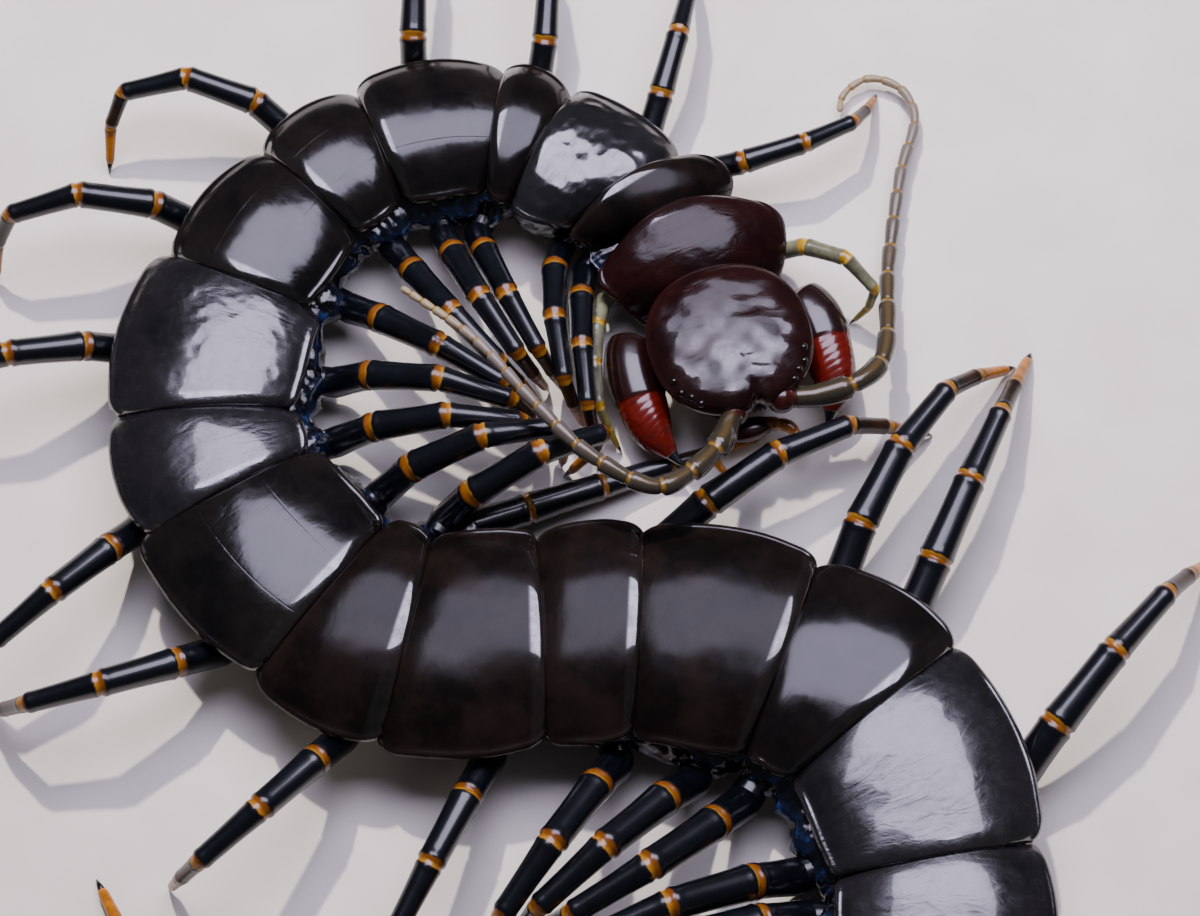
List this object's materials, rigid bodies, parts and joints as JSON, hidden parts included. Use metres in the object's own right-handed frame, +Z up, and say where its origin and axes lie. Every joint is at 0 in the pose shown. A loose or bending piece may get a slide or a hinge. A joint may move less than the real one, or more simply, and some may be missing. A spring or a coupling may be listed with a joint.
{
  "type": "giant centipede",
  "caption": "Life-size still model of a giant centipede lying in a hook, with plated trunk, poison jaws, feelers and walking legs set down around it.",
  "frame": {"origin": "middle of the bounding box in plan, at the height of the floor that the feet stand on", "axes": "+Z up from the floor; +X to the right and +Y away from the viewer of the front view, in which the head points down and a little to the right"},
  "size_m": [0.1256, 0.1516, 0.014],
  "materials": {
    "plate": "glossy black horn with brown edges",
    "shield": "glossy dark maroon horn",
    "leg": "glossy blue-black horn with amber rings at the joints",
    "feeler": "satin grey-brown horn with yellow rims",
    "fang": "glossy deep red horn with black points",
    "mouth": "glossy amber horn"
  },
  "bodies": {
    "root": {"head": "shield", "jaw_plate": "shield", "jaw_left": "fang", "jaw_right": "fang", "mouth": "mouth", "feeler_left": "feeler", "feeler_right": "feeler", "trunk_01": "plate", "trunk_02": "plate", "trunk_03": "plate", "trunk_04": "plate", "trunk_05": "plate", "trunk_06": "plate", "trunk_07": "plate", "trunk_08": "plate", "trunk_09": "plate", "trunk_10": "plate", "trunk_11": "plate", "leg_left_01": "leg", "leg_right_01": "leg", "leg_left_02": "leg", "leg_right_02": "leg", "leg_left_03": "leg", "leg_right_03": "leg", "leg_left_04": "leg", "leg_right_04": "leg", "leg_left_05": "leg", "leg_right_05": "leg", "leg_left_06": "leg", "leg_right_06": "leg", "leg_left_07": "leg", "leg_right_07": "leg", "leg_left_08": "leg", "leg_right_08": "leg", "leg_left_09": "leg", "leg_right_09": "leg", "leg_left_10": "leg", "leg_right_10": "leg", "leg_left_11": "leg", "leg_right_11": "leg", "leg_left_12": "leg", "leg_right_12": "leg", "leg_left_13": "leg", "leg_right_13": "leg", "leg_left_14": "leg", "leg_right_14": "leg", "leg_left_15": "leg", "leg_right_15": "leg", "leg_left_16": "leg", "leg_right_16": "leg", "leg_left_17": "leg", "leg_right_17": "leg", "leg_left_18": "leg", "leg_right_18": "leg", "leg_left_19": "leg", "leg_right_19": "leg", "leg_left_20": "leg", "leg_right_20": "leg", "leg_left_21": "leg", "leg_right_21": "leg"}
  },
  "joints": []
}
